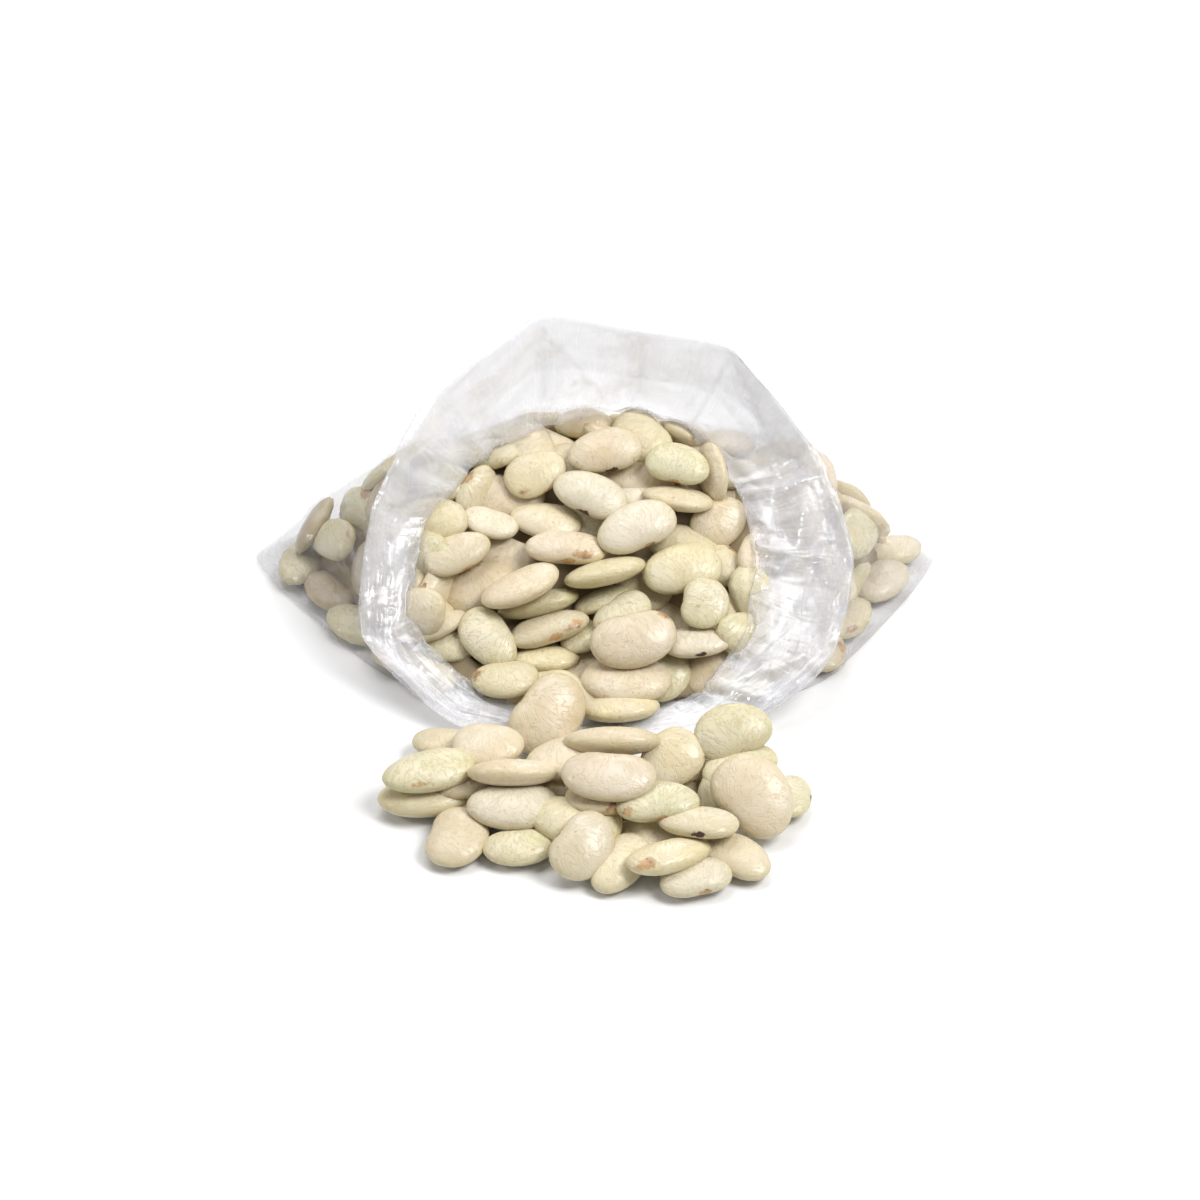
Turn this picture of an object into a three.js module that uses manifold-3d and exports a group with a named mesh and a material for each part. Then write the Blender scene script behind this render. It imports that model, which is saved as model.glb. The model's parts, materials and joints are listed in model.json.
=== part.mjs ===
// An open clear plastic bag of large dried lima beans, slumped on its bottom seam with its two
// bottom corners spread left and right. Its mouth is folded back into a loose cuff that leans
// towards -Y, and beans have run out over the front lip into a small heap.
// Millimetres, +Z up. The origin is on the flat underside of the bag, under the middle of the beans.

import * as THREE from "three";
import { mergeVertices } from "three/addons/utils/BufferGeometryUtils.js";
import Module from "manifold-3d";

const wasm = await Module();
wasm.setup();

// Driving dimensions.
const FILM = 0.8; // wall of the bag
const GAP = 0.35; // air between the beans and the film, and between the two heaps
const CUFF = 17; // how far the folded mouth hangs back down
const BEAN = { length: 23, width: 15.5 };
const THICKNESS_SHARE = 0.31; // of a bean, against its length
const BEAN_FACETS = [9, 4]; // of a bean that shows: round the outline, and from face to face
const HIDDEN_FACETS = [7, 3]; // of one under the film or under others
const LIP_Y = -57; // where the slope of beans in the mouth starts, and its height there
const SLOPE_FOOT = 3;
const SLOPE_LEAN = 27.5; // degrees
const SLOPE_RISE = Math.tan(THREE.MathUtils.degToRad(SLOPE_LEAN));
const SIDE_SPACING = 16.8; // between beans under the film, and how deep their middles lie
const SIDE_DEPTH = 5.4;
const CORE_DEPTH = 5; // of the plain middle below the slope
const CORE_SHARE = [0.88, 0.82, 0.82]; // of its form, against the film's, along X, Y and Z
const CORE_LINE_Z = 8;
const SLIVER = 0.3; // edges that move the surface by less than this are merged
const SPILL_CORE = { centre: [0, -85, 0.5], half: [36, 14, 8] };
const AROUND = 42; // facets round the film

// The flat underside, and the eye-shaped outline that the film stands on. Its two points are the
// bag's bottom corners.
const FOOT = [
  [0, -54, 0.4], [32, -52, 0.4], [65, -37, 0.5], [99, 18, 1.4], [67, 44, 0.5], [34, 56, 0.4],
  [0, 60, 0.4], [-34, 57, 0.4], [-67, 46, 0.5], [-101, 19, 1.4], [-66, -30, 0.5], [-36, -53, 0.4],
];
// The fullest part of the sack, where the film turns from its side to its top.
const SHOULDER = [
  [0, -57, 0.7], [33, -55, 1.4], [60, -33, 13], [72, 13, 32], [56, 31, 36], [30, 46, 30],
  [0, 50, 31], [-30, 46, 30], [-54, 31, 34], [-71, 13, 29], [-63, -28, 11], [-39, -54, 1.4],
];
// Where the film leaves the beans. In front it runs under them, along the floor.
const NECK = [
  [0, -60, 1.1], [28, -51, 7], [41, -34, 17], [44, -12, 26], [39, 8, 35], [26, 24, 42],
  [3, 30, 46], [-16, 26, 43], [-34, 14, 39], [-49, -7, 33], [-51, -33, 17], [-34, -49, 8],
];
// The fold at the edge of the mouth.
const RIM = [
  [0, -65, 2.0], [40, -61, 6], [63, -47, 18], [70, -24, 36], [61, 5, 50], [38, 29, 70],
  [10, 33, 74], [-17, 34, 77], [-47, 13, 62], [-62, -13, 43], [-64, -37, 17], [-38, -60, 4.5],
];

// A closed curve through one point for each station. angle is in degrees, 0 in front, 90 at the right.
function ringCurve(points, tension) {
  const corners = points.map(([x, y, z]) => new THREE.Vector3(x, y, z));
  const curve = new THREE.CatmullRomCurve3(corners, true, "catmullrom", tension);
  return (angle) => curve.getPoint((((angle / 360) % 1) + 1) % 1);
}

const CREASED = 0.3; // tension of the film's rings: near 0 they are polygons
const foot = ringCurve(FOOT, CREASED);
const shoulder = ringCurve(SHOULDER, CREASED);
const neck = ringCurve(NECK, CREASED);
const rim = ringCurve(RIM, CREASED);

// Seeded draws, so that the heap is the same at every run.
function seededDraw(seed) {
  let state = seed;
  return () => {
    state = (Math.imul(state, 1664525) + 1013904223) >>> 0;
    return state / 4294967296;
  };
}

function toSolid(geometry) {
  const plain = geometry.clone();
  plain.deleteAttribute("normal");
  plain.deleteAttribute("uv");
  const merged = mergeVertices(plain, 1e-4);
  return new wasm.Manifold(
    new wasm.Mesh({
      numProp: 3,
      vertProperties: merged.getAttribute("position").array,
      triVerts: new Uint32Array(merged.index.array),
    }),
  );
}

function toGeometry(solid) {
  const { vertProperties, triVerts } = solid.getMesh();
  const geometry = new THREE.BufferGeometry();
  geometry.setAttribute("position", new THREE.BufferAttribute(vertProperties, 3));
  geometry.setIndex(new THREE.BufferAttribute(triVerts, 1));
  geometry.computeVertexNormals();
  return geometry;
}

// A closed skin through rings of equally many points, each end shut by a fan to its middle point.
function loft(first, rings, last) {
  const around = rings[0].length;
  const points = [first, ...rings.flat(), last];
  const index = [];
  const at = (row, column) => 1 + row * around + (column % around);
  for (let column = 0; column < around; column++) {
    index.push(0, at(0, column + 1), at(0, column));
    index.push(points.length - 1, at(rings.length - 1, column), at(rings.length - 1, column + 1));
    for (let row = 0; row < rings.length - 1; row++) {
      const [a, b] = [at(row, column), at(row, column + 1)];
      const [c, d] = [at(row + 1, column), at(row + 1, column + 1)];
      index.push(a, b, d, a, d, c);
    }
  }
  return new THREE.BufferGeometry().setFromPoints(points).setIndex(index);
}

// The film's middle surface, along one angle, from the underside to the free edge of the cuff.
function filmPath(angle) {
  const [low, full, mouth, fold] = [foot, shoulder, neck, rim].map((ring) => ring(angle));
  const flare = mouth.clone().lerp(fold, 0.5);
  const side = new THREE.CatmullRomCurve3([low, full, mouth], false, "catmullrom", 0.5);
  const outward = new THREE.Vector3(fold.x, fold.y + 14, 0).normalize();
  const down = mouth.clone().sub(fold).normalize();
  const height = THREE.MathUtils.smoothstep(fold.z, 4, 30);
  const cuff = [0.06, 0.5, 1].map((share) => {
    const hang = down.clone().multiplyScalar(share * (5 + (CUFF - 5) * height));
    const clear = outward.clone().multiplyScalar(2.2 + 2.6 * share * height);
    const point = fold.clone().add(hang).add(clear);
    point.z = Math.max(point.z, FILM / 2 + 0.1);
    return point;
  });
  const inset = low.clone().multiplyScalar(0.97).setZ(FILM / 2);
  return [inset, ...[0, 0.25, 0.5, 0.75, 1].map((t) => side.getPoint(t)), flare, fold, ...cuff];
}

// The normal of a grid of points, from the points beside, below and above each one.
function gridNormal(grid, row, column) {
  const around = grid[0].length;
  const ahead = grid[row][(column + 1) % around];
  const behind = grid[row][(column + around - 1) % around];
  const above = grid[Math.min(row + 1, grid.length - 1)][column];
  const below = grid[Math.max(row - 1, 0)][column];
  const across = ahead.clone().sub(behind);
  return across.cross(above.clone().sub(below)).normalize();
}

function filmGrid() {
  const angles = Array.from({ length: AROUND }, (_, i) => (i * 360) / AROUND);
  const paths = angles.map(filmPath);
  return paths[0].map((_, row) => paths.map((path) => path[row]));
}

// The film as one closed skin of the given wall, open at the mouth.
function filmSolid(wall) {
  const grid = filmGrid();
  const layer = (side) =>
    grid.map((ring, row) =>
      ring.map((point, column) => {
        const moved = point.clone().addScaledVector(gridNormal(grid, row, column), (side * wall) / 2);
        return row === 0 ? moved.setZ(FILM / 2 - (side * wall) / 2) : moved;
      }),
    );
  const outside = layer(1);
  const inside = layer(-1).reverse();
  const under = new THREE.Vector3(0, 0, FILM / 2 - wall / 2);
  const over = new THREE.Vector3(0, 0, FILM / 2 + wall / 2);
  return toSolid(loft(under, [...outside, ...inside], over));
}

// A lima bean lying on its face: longer than wide, lens-thick, with a dent at its scar on -Y.
function beanGeometry(length, width, thickness, facets) {
  const bean = new THREE.SphereGeometry(1, ...facets);
  const place = bean.getAttribute("position");
  for (let i = 0; i < place.count; i++) {
    const [along, face, across] = [place.getX(i), place.getY(i), -place.getZ(i)];
    const dent = across < 0 ? 0.24 * Math.exp(-((along / 0.4) ** 2)) : 0;
    place.setXYZ(
      i,
      (along * length) / 2,
      (across * (1 - dent) * width) / 2,
      (Math.sign(face) * Math.abs(face) ** 0.8 * thickness) / 2,
    );
  }
  return bean;
}

function turn(axis, degrees) {
  return new THREE.Quaternion().setFromAxisAngle(axis, THREE.MathUtils.degToRad(degrees));
}

// A bean on a plane that leans towards the front: its heading on that plane, counterclockwise
// from +X, and how far it is rolled about its own length, positive with its scar side down.
function laidTurn(lean, heading, roll) {
  const [alongX, alongZ] = [new THREE.Vector3(1, 0, 0), new THREE.Vector3(0, 0, 1)];
  return turn(alongX, lean).multiply(turn(alongZ, heading)).multiply(turn(alongX, roll));
}

function placedBean({ centre, pose, length, width, facets }, grow) {
  const thickness = THICKNESS_SHARE * length;
  const shape = beanGeometry(length + grow, width + grow, thickness + grow, facets);
  shape.applyQuaternion(pose);
  shape.translate(centre.x, centre.y, centre.z);
  return toSolid(shape);
}

// The beans that show in the mouth, on the slope that rises from the front lip to the back.
function slopeHeight(y) {
  return SLOPE_FOOT + SLOPE_RISE * (y - LIP_Y);
}

// x, y, height of the middle above the slope, heading, roll, length, width.
const MOUTH_BEANS = [
  [13, 21, 0, 130, 0, 20, 15], [2, 15, 2.5, 12, 0, 22, 14], [-5, 13, 0, -30, -20, 20, 13],
  [-18, 9, 2, 28, 0, 19, 14], [23, 11, 2.5, -15, 0, 19, 13], [12, 11, -1, 5, -10, 24, 15],
  [33, 9, 2, 105, -62, 19, 13], [23, 1, 3, -10, -46, 21, 14], [35, -4, 1, 40, 10, 18, 14],
  [-2, 2, 3, -25, -5, 23, 14], [11, -8, 4, 25, 0, 24, 15], [-2, -1, -2, 0, 0, 20, 14],
  [12, 5, -1, 0, -20, 22, 14], [-15, -4, 1.5, -10, -15, 21, 13], [-31, -5, 2, -20, -25, 17, 12],
  [-26, 5, -1, 0, 0, 22, 15], [-35, 5, 1, 60, 40, 17, 11], [-40, -4, 0, 0, 0, 16, 12],
  [-9, -13, 3, -3, -25, 24, 13], [-40, -14, 2.5, 25, -10, 20, 13], [-27, -12, -1, -30, 0, 20, 14],
  [24, -19, 3, 12, 0, 23, 16], [24, -10, 0.5, -15, -10, 22, 14], [35, -14, -1, -40, 0, 18, 13],
  [30, -29, 4, 80, 0, 16, 14], [2, -19, 2, 15, -55, 24, 14], [1, -25, 0, 25, -45, 17, 12],
  [7, -29, 0, 35, -10, 18, 13], [13, -21, -1, -30, 0, 17, 13], [-22, -24, 3.5, 27, -35, 24, 15],
  [-17, -27, 1, 15, -58, 24, 14], [-34, -22, 1, 20, 0, 22, 15], [-47, -26, 2, 62, 60, 25, 14],
  [-45, -33, 1, 30, -45, 17, 12], [-31, -38, 3, -55, 0, 21, 14], [-14, -35, 2.5, 18, -38, 24, 14],
  [-15, -42, 1, 0, -40, 20, 13], [-4, -36, 1, 30, -20, 14, 11], [-41, -37, 0, 10, -10, 16, 12],
  [-26, -49, 3, 5, -15, 19, 13], [10, -40, 5.5, 15, 5, 25, 17], [28, -39, 3, 5, -30, 20, 13],
  [8, -51, 5, 0, -20, 26, 17], [19, -48, 2, 40, 0, 16, 13], [6, -59, 4, 3, -45, 23, 15],
  [-14, -63, 9, 55, 15, 26, 19], [-15, -53, 3, 10, 0, 22, 15], [2, -55, 2, -15, 0, 20, 14],
];

// The beans that have run out over the lip: x, y, height of the middle above the floor, lean,
// heading, roll, length, width.
const SPILLED_BEANS = [
  [-42, -71, 5.5, -5, -5, 0, 19, 12], [-30, -76, 9, 12, 0, 0, 20, 15], [-46, -87, 9, 2, 18, 0, 26, 15],
  [-47, -93, 4, -5, 5, 0, 26, 15], [-23, -90, 11, -35, 3, 0, 25, 14], [-36, -86, 5, 0, 20, 0, 22, 14],
  [-14, -88, 6, 0, -10, 0, 22, 14], [-23, -98, 6, 12, 2, 0, 25, 15], [-38, -108, 4, 5, 75, 0, 22, 17],
  [-21, -110, 4, 5, 8, 0, 20, 13], [-6, -103, 5, 12, -14, 0, 26, 16], [-4, -114, 6, 25, 58, 10, 21, 16],
  [3, -96, 15, 14, -5, 0, 26, 16], [2, -97, 8, -10, 0, 0, 22, 15], [4, -78, 12, -35, 5, 0, 27, 13],
  [-9, -82, 9, 10, 15, 0, 22, 15], [20, -84, 10.5, 32, 42, 0, 19, 16], [37, -74, 12, 32, 16, 0, 22, 16],
  [42, -100, 11, 38, 128, 0, 25, 20], [35, -91, 6, 25, 60, 0, 20, 15], [39, -82, 6, 10, 25, 0, 22, 14],
  [52, -92, 4, 0, 78, 0, 17, 13], [16, -101, 10, 2, 5, 0, 23, 15], [27, -107, 8, -12, -8, 0, 22, 14],
  [15, -108, 4, 0, 0, 0, 20, 13], [6, -117, 4, 10, 60, 0, 22, 13], [19, -117, 5, -12, 28, 0, 25, 13],
  [26, -125, 4, 5, 18, 0, 20, 13], [37, -114, 4, 5, -36, 0, 21, 14], [-33, -97, 4, 0, 90, 0, 16, 12],
  [-33, -73, 4, 0, 40, 0, 20, 14], [24, -77, 5, 0, 90, 0, 20, 14], [0, -72, 6, -10, 10, 0, 22, 14],
];

function beansInMouth() {
  return MOUTH_BEANS.map(([x, y, lift, heading, roll, length, width]) => ({
    centre: new THREE.Vector3(x, y, slopeHeight(y) + lift),
    pose: laidTurn(SLOPE_LEAN, heading, roll),
    length,
    width,
    facets: BEAN_FACETS,
  }));
}

function beansOnFloor() {
  return SPILLED_BEANS.map(([x, y, z, lean, heading, roll, length, width]) => ({
    centre: new THREE.Vector3(x, y, z),
    pose: laidTurn(lean, heading, roll),
    length,
    width,
    facets: BEAN_FACETS,
  }));
}

// A point of the mass under the film, from the foot at share 0 to the neck at share 1.
function massPoint(angle, share) {
  const side = [foot, shoulder, neck].map((ring) => ring(angle));
  return new THREE.CatmullRomCurve3(side, false, "catmullrom", 0.5).getPoint(share);
}

function massNormal(angle, share) {
  const ahead = massPoint(angle + 4, share).sub(massPoint(angle - 4, share));
  const above = massPoint(angle, Math.min(share + 0.06, 1));
  return ahead.cross(above.sub(massPoint(angle, share - 0.06))).normalize();
}

// The plain middle of the mass, inside the beans that show. It draws in towards a line that runs
// from one bottom corner to the other, and stays below the slope.
function massCore() {
  const base = new THREE.Vector3(0, 0, FILM + GAP);
  const [alongX, acrossY, upZ] = CORE_SHARE;
  const inward = ({ x, y, z }) =>
    new THREE.Vector3(x * alongX, y * acrossY, CORE_LINE_Z + (z - CORE_LINE_Z) * upZ);
  const ring = (share) => Array.from({ length: 36 }, (_, i) => inward(massPoint(i * 10, share)));
  const rings = [0.04, 0.3, 0.6, 0.85, 1].map(ring);
  for (const point of rings[0]) point.z = base.z;
  for (const point of rings[4]) point.z = Math.min(point.z, slopeHeight(point.y) - CORE_DEPTH);
  const middle = new THREE.Vector3(-4, -14, slopeHeight(-14) - CORE_DEPTH);
  return toSolid(loft(base, rings, middle));
}

// Sites for beans under the film: drawn at random, and kept where no earlier one is too near.
function beansUnderFilm(draw) {
  const kept = [];
  for (let tries = 0; tries < 2400; tries++) {
    const angle = draw() * 360;
    const share = 0.1 + 0.86 * Math.sqrt(draw());
    const site = massPoint(angle, share);
    const face = massNormal(angle, share);
    const heading = draw() * 360;
    const sway = new THREE.Vector3(draw() - 0.5, draw() - 0.5, draw() - 0.5).multiplyScalar(0.3);
    const length = BEAN.length * (0.88 + 0.22 * draw());
    if (site.y < -40 && site.z < 6) continue;
    if (kept.some((other) => other.site.distanceTo(site) < SIDE_SPACING)) continue;
    const up = new THREE.Vector3(0, 0, 1);
    const pose = new THREE.Quaternion().setFromUnitVectors(up, face.clone().add(sway).normalize());
    const centre = site.clone().addScaledVector(face, -SIDE_DEPTH);
    const width = (length * BEAN.width) / BEAN.length;
    const facets = HIDDEN_FACETS;
    kept.push({ site, centre, pose: pose.multiply(turn(up, heading)), length, width, facets });
  }
  return kept;
}

// Beans that fill the slope between the ones above and the film, a little deeper.
function beansBetween(shown, draw) {
  const kept = [];
  const near = (x, y, other, reach) => Math.hypot(other.centre.x - x, other.centre.y - y) < reach;
  for (let tries = 0; tries < 1200; tries++) {
    const edge = neck(draw() * 360).multiplyScalar(0.4 + 0.55 * draw());
    const [x, y] = [edge.x, edge.y];
    const pose = laidTurn(SLOPE_LEAN, draw() * 360, (draw() - 0.5) * 30);
    if (y < LIP_Y + 6) continue;
    if (shown.some((other) => near(x, y, other, 9.5))) continue;
    if (kept.some((other) => near(x, y, other, 12))) continue;
    const centre = new THREE.Vector3(x, y, slopeHeight(y) - 2);
    kept.push({ centre, pose, ...BEAN, facets: HIDDEN_FACETS });
  }
  return kept;
}

function union(solids) {
  return solids.reduce((joined, solid) => joined.add(solid));
}

// The one connected piece of a heap, without hollows, loose scraps or slivers.
function onePiece(solid) {
  const pieces = solid.simplify(SLIVER).decompose();
  return pieces.sort((a, b) => b.volume() - a.volume())[0];
}

// Nothing reaches below the film inside the bag, or below the floor outside it.
function above(solid, height) {
  const slab = new THREE.BoxGeometry(400, 400, 100).translate(0, 0, height - 50);
  return solid.subtract(toSolid(slab));
}

const shown = beansInMouth();
const bagBeans = [...shown, ...beansBetween(shown, seededDraw(3)), ...beansUnderFilm(seededDraw(7))];
const filmRoom = filmSolid(FILM + 2 * GAP);
function bagHeap(grow) {
  return union([massCore(), ...bagBeans.map((bean) => placedBean(bean, grow))]);
}
const insideHeap = onePiece(above(bagHeap(0), FILM + GAP).subtract(filmRoom));

function spillCore() {
  const dome = new THREE.SphereGeometry(1, 20, 8).rotateX(Math.PI / 2);
  return toSolid(dome.scale(...SPILL_CORE.half).translate(...SPILL_CORE.centre));
}
const spilled = union([spillCore(), ...beansOnFloor().map((bean) => placedBean(bean, 0))]);
const frontHeap = onePiece(above(spilled, 0.02).subtract(filmRoom).subtract(bagHeap(2 * GAP)));

const group = new THREE.Group();
function addPiece(name, solid, material) {
  const mesh = new THREE.Mesh(toGeometry(solid), material);
  mesh.name = name;
  group.add(mesh);
}

addPiece(
  "bag_film",
  filmSolid(FILM),
  new THREE.MeshStandardMaterial({
    color: 0xeceaf0, roughness: 0.12, metalness: 0, transparent: true, opacity: 0.3, side: THREE.DoubleSide,
  }),
);
const skin = new THREE.MeshStandardMaterial({ color: 0xe6dcc0, roughness: 0.42, metalness: 0 });
addPiece("beans_in_bag", insideHeap, skin);
addPiece("spilled_beans", frontHeap, skin);

export default group;
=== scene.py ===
# %% [markdown]
# A clear plastic bag of large dried beans
#
# The bag has slumped on its bottom seam. Its two bottom corners stick out to the left and right,
# its mouth leans to the front with the top folded back, and beans have run out over the lip.
# The frame gives the plain solids and their real places. This script dresses them: crumpled film,
# single beans with their scars and tints, and a plain pale set to look at them on.

# %% The frame and the size of what it holds
import json
import math
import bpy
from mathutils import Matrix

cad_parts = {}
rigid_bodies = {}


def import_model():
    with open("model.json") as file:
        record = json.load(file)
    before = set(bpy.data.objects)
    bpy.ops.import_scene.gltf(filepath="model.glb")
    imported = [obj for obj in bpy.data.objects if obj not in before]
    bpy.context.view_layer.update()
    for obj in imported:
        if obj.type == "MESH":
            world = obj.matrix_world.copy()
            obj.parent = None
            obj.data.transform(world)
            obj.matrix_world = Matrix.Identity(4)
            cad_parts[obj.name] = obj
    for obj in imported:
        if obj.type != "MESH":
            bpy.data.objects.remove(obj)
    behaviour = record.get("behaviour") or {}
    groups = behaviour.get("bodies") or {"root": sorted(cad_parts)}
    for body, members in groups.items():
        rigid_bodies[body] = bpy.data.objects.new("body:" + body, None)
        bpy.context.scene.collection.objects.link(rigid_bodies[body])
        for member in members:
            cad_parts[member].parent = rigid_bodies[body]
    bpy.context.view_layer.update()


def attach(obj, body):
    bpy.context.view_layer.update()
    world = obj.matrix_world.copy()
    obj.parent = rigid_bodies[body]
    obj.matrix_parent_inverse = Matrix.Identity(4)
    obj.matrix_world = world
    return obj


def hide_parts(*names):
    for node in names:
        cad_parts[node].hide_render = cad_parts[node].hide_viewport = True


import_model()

from types import SimpleNamespace

import bpy
import numpy as np
from mathutils import Matrix, Vector

MM = 0.001  # one millimetre in the scene's metres

# %% [markdown]
# Shader maths reads badly as a web of small nodes. One class holds a socket and lets Python's
# operators add the Math nodes, so a finish below is written like a formula. Any other node comes
# from a single method, with its settings and the values or links of its sockets.


# %% A socket that can be used in arithmetic, and a finish that makes its own nodes
def add_node(tree, kind, settings=None, values=None):
    """A node with its settings, and with a value or a link for each input that is named."""
    made = tree.nodes.new(kind)
    for name, value in (settings or {}).items():
        setattr(made, name, value)
    for name, value in (values or {}).items():
        if isinstance(value, bpy.types.NodeSocket):
            tree.links.new(value, made.inputs[name])
        else:
            made.inputs[name].default_value = value
    return made


class Signal:
    """One output of a node. Arithmetic on it adds Math nodes."""

    def __init__(self, finish, socket):
        self.finish = finish
        self.socket = socket

    def math(self, operation, *others, clamp=False):
        settings = {"operation": operation, "use_clamp": clamp}
        return self.finish.node("ShaderNodeMath", settings, dict(enumerate((self, *others))))

    def __add__(self, other):
        return self.math("ADD", other)

    def __sub__(self, other):
        return self.math("SUBTRACT", other)

    def __mul__(self, other):
        return self.math("MULTIPLY", other)

    def __truediv__(self, other):
        return self.math("DIVIDE", other)

    def __rsub__(self, other):
        return (self * -1.0) + other

    __radd__ = __add__
    __rmul__ = __mul__

    def between(self, low, high):
        """0 at low, 1 at high, straight in between."""
        scaled = (self - low) / (high - low)
        return scaled.math("ADD", 0.0, clamp=True)


class Finish:
    """A material under construction."""

    def __init__(self, name):
        self.material = bpy.data.materials.new(name)
        self.material.use_nodes = True
        self.tree = self.material.node_tree
        self.tree.nodes.clear()

    def node(self, kind, settings=None, values=None, output=0):
        given = {k: v.socket if isinstance(v, Signal) else v for k, v in (values or {}).items()}
        made = add_node(self.tree, kind, settings, given)
        return Signal(self, made.outputs[output] if len(made.outputs) else None)

    def place(self):
        """Object coordinates, in metres."""
        return self.node("ShaderNodeTexCoord", output="Object")

    def attribute(self, name, output="Fac"):
        return self.node("ShaderNodeAttribute", {"attribute_name": name}, output=output)

    def noise(self, where, scale, detail=2.0, distortion=0.0, rough=0.5):
        values = {"Vector": where, "Scale": scale, "Detail": detail}
        values.update({"Distortion": distortion, "Roughness": rough})
        return self.node("ShaderNodeTexNoise", values=values)

    def blend(self, share, first, second):
        """A colour between first and second."""
        settings = {"data_type": "RGBA", "blend_type": "MIX"}
        values = {0: share, 6: first, 7: second}
        return self.node("ShaderNodeMix", settings, values, output=2)

    def split(self, vector):
        """The three parts of a vector."""
        parts = self.node("ShaderNodeSeparateXYZ", values={0: vector}).socket.node.outputs
        return [Signal(self, part) for part in parts]

    def principled(self, values):
        return self.node("ShaderNodeBsdfPrincipled", values=values)

    def bump(self, height, strength, depth):
        values = {"Height": height, "Strength": strength, "Distance": depth}
        return self.node("ShaderNodeBump", values=values)

    def finish(self, surface):
        self.node("ShaderNodeOutputMaterial", values={"Surface": surface})
        return self.material


# %% [markdown]
# Beans, cores and film are all skins through rings of points. One function makes them. Another
# stores a value for each point, where a finish or a node tree can read it.


# %% Objects, their meshes and values on their points
def add_object(name, data):
    made = bpy.data.objects.new(name, data)
    bpy.context.scene.collection.objects.link(made)
    return made


def ring_mesh(name, grid, first=None, last=None):
    """A skin through rings of points from the lowest up, with a fan at each end that is given."""
    number = np.arange(grid[..., 0].size).reshape(grid.shape[:2])
    ahead = np.roll(number, -1, axis=1)
    quads = np.stack([number[:-1], ahead[:-1], ahead[1:], number[1:]], -1)
    points, faces = grid.reshape(-1, 3).tolist(), quads.reshape(-1, 4).tolist()
    for end, here, there in ((first, ahead[0], number[0]), (last, number[-1], ahead[-1])):
        if end is not None:
            points.append(tuple(end))
            faces += [(len(points) - 1, a, b) for a, b in zip(here.tolist(), there.tolist())]
    mesh = bpy.data.meshes.new(name)
    mesh.from_pydata(points, [], faces)
    mesh.shade_smooth()
    return mesh


def store(mesh, name, values):
    """Stores a number, a whole number or a vector for each point of a mesh."""
    values = np.asarray(values)
    whole, vector = values.dtype.kind == "i", values.ndim == 2
    kind = "INT" if whole else "FLOAT_VECTOR" if vector else "FLOAT"
    field, flat = "vector" if vector else "value", values.astype(np.int32 if whole else np.float32)
    mesh.attributes.new(name, kind, "POINT").data.foreach_set(field, flat.ravel())


# %% [markdown]
# The bag's form comes from four closed rings, the same ones that the solids use: the foot that it
# stands on, its fullest part, the neck where the film leaves the beans, and the fold at its mouth.
# Each ring has a point every 30 degrees, from the front lip round to the right.

# %% The four rings of the bag
FOOT = [
    (0, -54, 0.4), (32, -52, 0.4), (65, -37, 0.5), (99, 18, 1.4), (67, 44, 0.5), (34, 56, 0.4),
    (0, 60, 0.4), (-34, 57, 0.4), (-67, 46, 0.5), (-101, 19, 1.4), (-66, -30, 0.5), (-36, -53, 0.4),
]
SHOULDER = [
    (0, -57, 0.7), (33, -55, 1.4), (60, -33, 13), (72, 13, 32), (56, 31, 36), (30, 46, 30),
    (0, 50, 31), (-30, 46, 30), (-54, 31, 34), (-71, 13, 29), (-63, -28, 11), (-39, -54, 1.4),
]
NECK = [
    (0, -60, 1.1), (28, -51, 7), (41, -34, 17), (44, -12, 26), (39, 8, 35), (26, 24, 42),
    (3, 30, 46), (-16, 26, 43), (-34, 14, 39), (-49, -7, 33), (-51, -33, 17), (-34, -49, 8),
]
RIM = [
    (0, -65, 2.0), (40, -61, 6), (63, -47, 18), (70, -24, 36), (61, 5, 50), (38, 29, 70),
    (10, 33, 74), (-17, 34, 77), (-47, 13, 62), (-62, -13, 43), (-64, -37, 17), (-38, -60, 4.5),
]
CREASED = 0.3  # tension of the rings: near 0 they are polygons


def hermite(before, start, end, after, t, tension):
    """A Catmull-Rom step from start to end."""
    leave, arrive = tension * (end - before), tension * (after - start)
    cube = 2 * start - 2 * end + leave + arrive
    square = -3 * start + 3 * end - 2 * leave - arrive
    return ((cube * t + square) * t + leave) * t + start


def ring_at(points, degrees):
    """Points of a closed ring at the given angles, in millimetres."""
    corners = np.array(points, float)
    position = (np.atleast_1d(degrees) / 360 % 1) * len(corners)
    step = position.astype(int)
    around = [corners[(step + shift) % len(corners)] for shift in (-1, 0, 1, 2)]
    return hermite(*around, (position - step)[:, None], CREASED)


def side_at(degrees, share):
    """Points on the film's side, from the foot at share 0 to the neck at share 1."""
    low, full, mouth = (ring_at(ring, degrees) for ring in (FOOT, SHOULDER, NECK))
    share = np.broadcast_to(np.asarray(share, float), (len(low),))[:, None]
    lower = hermite(2 * low - full, low, full, mouth, share * 2, 0.5)
    upper = hermite(low, full, mouth, 2 * mouth - full, share * 2 - 1, 0.5)
    return np.where(share < 0.5, lower, upper)


def grid_normals(grid):
    """Outward directions at the points of a grid that closes round the bag."""
    ahead = np.roll(grid, -1, axis=1) - np.roll(grid, 1, axis=1)
    above = np.gradient(grid, axis=0)
    normal = np.cross(ahead, above)
    return normal / np.maximum(np.linalg.norm(normal, axis=2), 1e-9)[..., None]


print("foot", len(FOOT), "points, rim height", max(z for _, _, z in RIM), "mm")

# %% [markdown]
# A large dried lima bean is a flat kidney, about 23 by 15 by 7 mm. Its scar sits in the dent of its
# long side. Beans differ, so five kinds are modelled from one formula with other numbers. Each
# vertex keeps its place on the bean and its nearness to the scar, which the skin's finish reads.


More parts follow.
